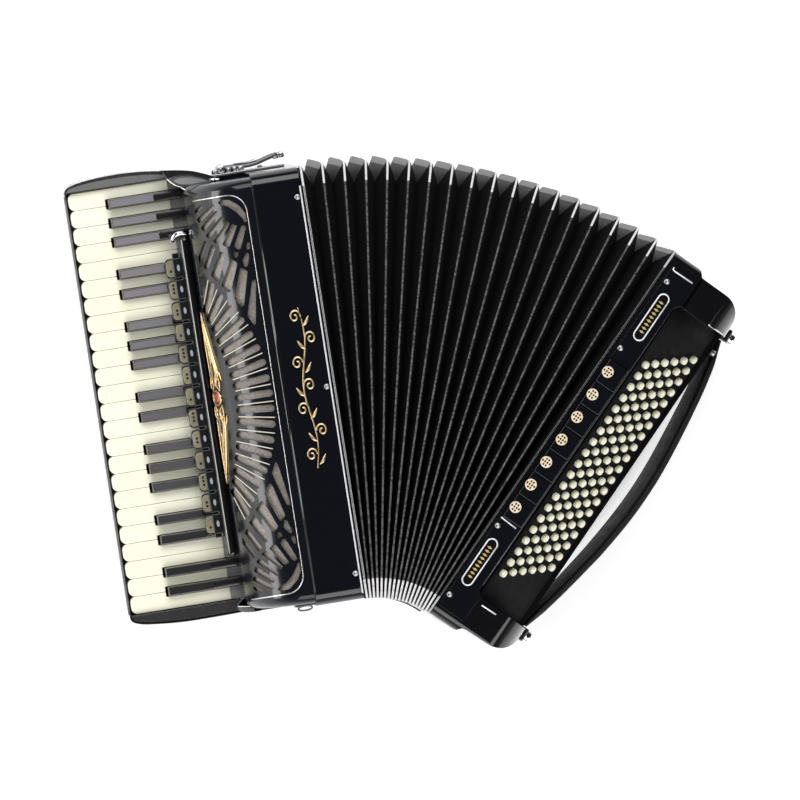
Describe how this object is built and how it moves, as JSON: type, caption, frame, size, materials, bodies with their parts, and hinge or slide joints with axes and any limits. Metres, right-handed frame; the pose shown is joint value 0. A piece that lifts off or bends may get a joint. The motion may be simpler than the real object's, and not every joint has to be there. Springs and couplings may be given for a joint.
{
  "type": "piano accordion",
  "caption": "Full-size black piano accordion: ivory and black piano keys, slotted grille, fanned bellows, slanted board of bass buttons and a padded hand strap.",
  "frame": {"origin": "centre of the treble casing's back face", "axes": "the accordion lies on its back: +Z to the grille and button side, +X from the keyboard toward the bass side, +Y to the chin end"},
  "size_m": [0.7272, 0.5999, 0.2062],
  "materials": {
    "black_lacquer": "high gloss black celluloid",
    "grille_black": "high gloss black, slotted",
    "mesh": "brown-grey woven grille cloth",
    "gold": "gilt",
    "chrome": "bright chrome",
    "steel": "plain steel",
    "ivory": "cream white key plastic",
    "key_black": "satin black key plastic",
    "wood": "bare spruce",
    "alu": "reed plates on wax",
    "bellows_card": "black bellows cloth over card",
    "button_cream": "cream button plastic",
    "strap_leather": "padded black leather"
  },
  "bodies": {
    "treble": {"treble_casing": "black_lacquer", "treble_grille": "grille_black", "grille_mesh": "mesh", "grille_ornament": "gold", "front_flourish": "gold", "treble_trim": "chrome", "treble_screws": "steel", "treble_soundboard": "wood", "treble_reed_blocks": "alu", "keyboard_frame": "black_lacquer", "key_axle": "steel", "switch_rail": "key_black", "guard_bar": "black_lacquer", "strap_bracket": "chrome", "low_strap_bracket": "chrome", "treble_bellows_frame": "bellows_card", "bellows_skin": "bellows_card", "bellows_strap": "strap_leather"},
    "switches": {"treble_switches": "black_lacquer"},
    "lever": {"strap_lever": "chrome"},
    "black_keys": {"black_keys": "key_black"},
    "bass": {"bass_bellows_frame": "bellows_card", "bass_casing": "black_lacquer", "bass_button_board": "black_lacquer", "nameplates": "chrome", "bass_screws": "steel", "bass_back_cover": "key_black", "bass_reed_blocks": "alu", "bass_mechanism": "steel", "bass_strap": "strap_leather", "strap_blocks": "chrome"},
    "bass_note_buttons": {"bass_note_buttons": "button_cream"},
    "chord_buttons": {"chord_buttons": "button_cream"},
    "bass_switches": {"bass_switches": "black_lacquer"},
    "wheel": {"strap_wheel": "chrome"},
    "air_button": {"air_button": "steel"},
    "keys_a": {"white_keys_a": "ivory"},
    "keys_b": {"white_keys_b": "ivory"},
    "keys_c": {"white_keys_c": "ivory"},
    "keys_d": {"white_keys_d": "ivory"},
    "keys_e": {"white_keys_e": "ivory"},
    "keys_f": {"white_keys_f": "ivory"},
    "keys_g": {"white_keys_g": "ivory"},
    "fold_01": {"fold_01": "bellows_card"},
    "fold_02": {"fold_02": "bellows_card"},
    "fold_03": {"fold_03": "bellows_card"},
    "fold_04": {"fold_04": "bellows_card"},
    "fold_05": {"fold_05": "bellows_card"},
    "fold_06": {"fold_06": "bellows_card"},
    "fold_07": {"fold_07": "bellows_card"},
    "fold_08": {"fold_08": "bellows_card"},
    "fold_09": {"fold_09": "bellows_card"},
    "fold_10": {"fold_10": "bellows_card"},
    "fold_11": {"fold_11": "bellows_card"},
    "fold_12": {"fold_12": "bellows_card"},
    "fold_13": {"fold_13": "bellows_card"},
    "fold_14": {"fold_14": "bellows_card"},
    "fold_15": {"fold_15": "bellows_card"},
    "fold_16": {"fold_16": "bellows_card"},
    "fold_17": {"fold_17": "bellows_card"}
  },
  "joints": [
    {"name": "keys_a_press", "type": "hinge", "parent": "treble", "child": "keys_a", "pos_m": [-0.072, 0, 0.052], "axis": [0, -1, 0], "range_deg": [0, 2.3], "stiffness_Nm_per_rad": 8, "springref_deg": -2.86},
    {"name": "keys_b_press", "type": "hinge", "parent": "treble", "child": "keys_b", "pos_m": [-0.072, 0, 0.052], "axis": [0, -1, 0], "range_deg": [0, 2.3], "stiffness_Nm_per_rad": 8, "springref_deg": -2.86},
    {"name": "keys_c_press", "type": "hinge", "parent": "treble", "child": "keys_c", "pos_m": [-0.072, 0, 0.052], "axis": [0, -1, 0], "range_deg": [0, 2.3], "stiffness_Nm_per_rad": 8, "springref_deg": -2.86},
    {"name": "keys_d_press", "type": "hinge", "parent": "treble", "child": "keys_d", "pos_m": [-0.072, 0, 0.052], "axis": [0, -1, 0], "range_deg": [0, 2.3], "stiffness_Nm_per_rad": 8, "springref_deg": -2.86},
    {"name": "keys_e_press", "type": "hinge", "parent": "treble", "child": "keys_e", "pos_m": [-0.072, 0, 0.052], "axis": [0, -1, 0], "range_deg": [0, 2.3], "stiffness_Nm_per_rad": 8, "springref_deg": -2.86},
    {"name": "keys_f_press", "type": "hinge", "parent": "treble", "child": "keys_f", "pos_m": [-0.072, 0, 0.052], "axis": [0, -1, 0], "range_deg": [0, 2.3], "stiffness_Nm_per_rad": 8, "springref_deg": -2.86},
    {"name": "keys_g_press", "type": "hinge", "parent": "treble", "child": "keys_g", "pos_m": [-0.072, 0, 0.052], "axis": [0, -1, 0], "range_deg": [0, 2.3], "stiffness_Nm_per_rad": 8, "springref_deg": -2.86},
    {"name": "black_keys_press", "type": "hinge", "parent": "treble", "child": "black_keys", "pos_m": [-0.072, 0, 0.052], "axis": [0, -1, 0], "range_deg": [0, 2.3], "stiffness_Nm_per_rad": 8, "springref_deg": -2.86},
    {"name": "switches_press", "type": "hinge", "parent": "treble", "child": "switches", "pos_m": [-0.088, 0, 0.0765], "axis": [0, -1, 0], "range_deg": [0, 5], "stiffness_Nm_per_rad": 1, "springref_deg": -2.86},
    {"name": "strap_lever_turn", "type": "hinge", "parent": "treble", "child": "lever", "pos_m": [-0.021, 0.253, 0.098], "axis": [0, 0, 1], "range_deg": [0, 60]},
    {"name": "fold_01_hinge", "type": "hinge", "parent": "treble", "child": "fold_01", "pos_m": [0.063, -0.246, 0.1], "axis": [0, 0, 1], "range_deg": [-1, 2.4]},
    {"name": "fold_02_hinge", "type": "hinge", "parent": "fold_01", "child": "fold_02", "pos_m": [0.067, -0.24617, 0.1], "axis": [0, 0, 1], "range_deg": [-1, 2.4]},
    {"name": "fold_03_hinge", "type": "hinge", "parent": "fold_02", "child": "fold_03", "pos_m": [0.07098, -0.2465, 0.1], "axis": [0, 0, 1], "range_deg": [-1, 2.4]},
    {"name": "fold_04_hinge", "type": "hinge", "parent": "fold_03", "child": "fold_04", "pos_m": [0.07495, -0.24701, 0.1], "axis": [0, 0, 1], "range_deg": [-1, 2.4]},
    {"name": "fold_05_hinge", "type": "hinge", "parent": "fold_04", "child": "fold_05", "pos_m": [0.07889, -0.24767, 0.1], "axis": [0, 0, 1], "range_deg": [-1, 2.4]},
    {"name": "fold_06_hinge", "type": "hinge", "parent": "fold_05", "child": "fold_06", "pos_m": [0.08281, -0.24851, 0.1], "axis": [0, 0, 1], "range_deg": [-1, 2.4]},
    {"name": "fold_07_hinge", "type": "hinge", "parent": "fold_06", "child": "fold_07", "pos_m": [0.08668, -0.2495, 0.1], "axis": [0, 0, 1], "range_deg": [-1, 2.4]},
    {"name": "fold_08_hinge", "type": "hinge", "parent": "fold_07", "child": "fold_08", "pos_m": [0.09051, -0.25066, 0.1], "axis": [0, 0, 1], "range_deg": [-1, 2.4]},
    {"name": "fold_09_hinge", "type": "hinge", "parent": "fold_08", "child": "fold_09", "pos_m": [0.09429, -0.25198, 0.1], "axis": [0, 0, 1], "range_deg": [-1, 2.4]},
    {"name": "fold_10_hinge", "type": "hinge", "parent": "fold_09", "child": "fold_10", "pos_m": [0.098, -0.25345, 0.1], "axis": [0, 0, 1], "range_deg": [-1, 2.4]},
    {"name": "fold_11_hinge", "type": "hinge", "parent": "fold_10", "child": "fold_11", "pos_m": [0.10166, -0.25508, 0.1], "axis": [0, 0, 1], "range_deg": [-1, 2.4]},
    {"name": "fold_12_hinge", "type": "hinge", "parent": "fold_11", "child": "fold_12", "pos_m": [0.10524, -0.25686, 0.1], "axis": [0, 0, 1], "range_deg": [-1, 2.4]},
    {"name": "fold_13_hinge", "type": "hinge", "parent": "fold_12", "child": "fold_13", "pos_m": [0.10874, -0.25879, 0.1], "axis": [0, 0, 1], "range_deg": [-1, 2.4]},
    {"name": "fold_14_hinge", "type": "hinge", "parent": "fold_13", "child": "fold_14", "pos_m": [0.11216, -0.26087, 0.1], "axis": [0, 0, 1], "range_deg": [-1, 2.4]},
    {"name": "fold_15_hinge", "type": "hinge", "parent": "fold_14", "child": "fold_15", "pos_m": [0.11549, -0.26309, 0.1], "axis": [0, 0, 1], "range_deg": [-1, 2.4]},
    {"name": "fold_16_hinge", "type": "hinge", "parent": "fold_15", "child": "fold_16", "pos_m": [0.11873, -0.26544, 0.1], "axis": [0, 0, 1], "range_deg": [-1, 2.4]},
    {"name": "fold_17_hinge", "type": "hinge", "parent": "fold_16", "child": "fold_17", "pos_m": [0.12186, -0.26793, 0.1], "axis": [0, 0, 1], "range_deg": [-1, 2.4]},
    {"name": "bass_hinge", "type": "hinge", "parent": "fold_17", "child": "bass", "pos_m": [0.12488, -0.27055, 0.1], "axis": [0, 0, 1], "range_deg": [-1, 2.4], "deforming": ["bellows_skin", "bellows_strap"]},
    {"name": "bass_note_buttons_press", "type": "slide", "parent": "bass", "child": "bass_note_buttons", "axis": [-0.5792, 0.5452, -0.606], "range_m": [0, 0.0035], "stiffness_N_per_m": 1500, "springref_m": -0.002},
    {"name": "chord_buttons_press", "type": "slide", "parent": "bass", "child": "chord_buttons", "axis": [-0.5792, 0.5452, -0.606], "range_m": [0, 0.0035], "stiffness_N_per_m": 1500, "springref_m": -0.002},
    {"name": "bass_switches_press", "type": "slide", "parent": "bass", "child": "bass_switches", "axis": [0, 0, -1], "range_m": [0, 0.003], "stiffness_N_per_m": 1500, "springref_m": -0.002},
    {"name": "strap_wheel_spin", "type": "hinge", "parent": "bass", "child": "wheel", "pos_m": [0.52037, -0.02552, 0.07], "axis": [0.7281, -0.6855, 0], "continuous": true},
    {"name": "air_button_press", "type": "slide", "parent": "bass", "child": "air_button", "axis": [-0.7281, 0.6855, 0], "range_m": [0, 0.003], "stiffness_N_per_m": 800, "springref_m": -0.002}
  ],
  "couplings": [
    {"joint": "fold_01_hinge", "follows": "bass_hinge", "ratio": 1},
    {"joint": "fold_02_hinge", "follows": "bass_hinge", "ratio": 1},
    {"joint": "fold_03_hinge", "follows": "bass_hinge", "ratio": 1},
    {"joint": "fold_04_hinge", "follows": "bass_hinge", "ratio": 1},
    {"joint": "fold_05_hinge", "follows": "bass_hinge", "ratio": 1},
    {"joint": "fold_06_hinge", "follows": "bass_hinge", "ratio": 1},
    {"joint": "fold_07_hinge", "follows": "bass_hinge", "ratio": 1},
    {"joint": "fold_08_hinge", "follows": "bass_hinge", "ratio": 1},
    {"joint": "fold_09_hinge", "follows": "bass_hinge", "ratio": 1},
    {"joint": "fold_10_hinge", "follows": "bass_hinge", "ratio": 1},
    {"joint": "fold_11_hinge", "follows": "bass_hinge", "ratio": 1},
    {"joint": "fold_12_hinge", "follows": "bass_hinge", "ratio": 1},
    {"joint": "fold_13_hinge", "follows": "bass_hinge", "ratio": 1},
    {"joint": "fold_14_hinge", "follows": "bass_hinge", "ratio": 1},
    {"joint": "fold_15_hinge", "follows": "bass_hinge", "ratio": 1},
    {"joint": "fold_16_hinge", "follows": "bass_hinge", "ratio": 1},
    {"joint": "fold_17_hinge", "follows": "bass_hinge", "ratio": 1}
  ]
}
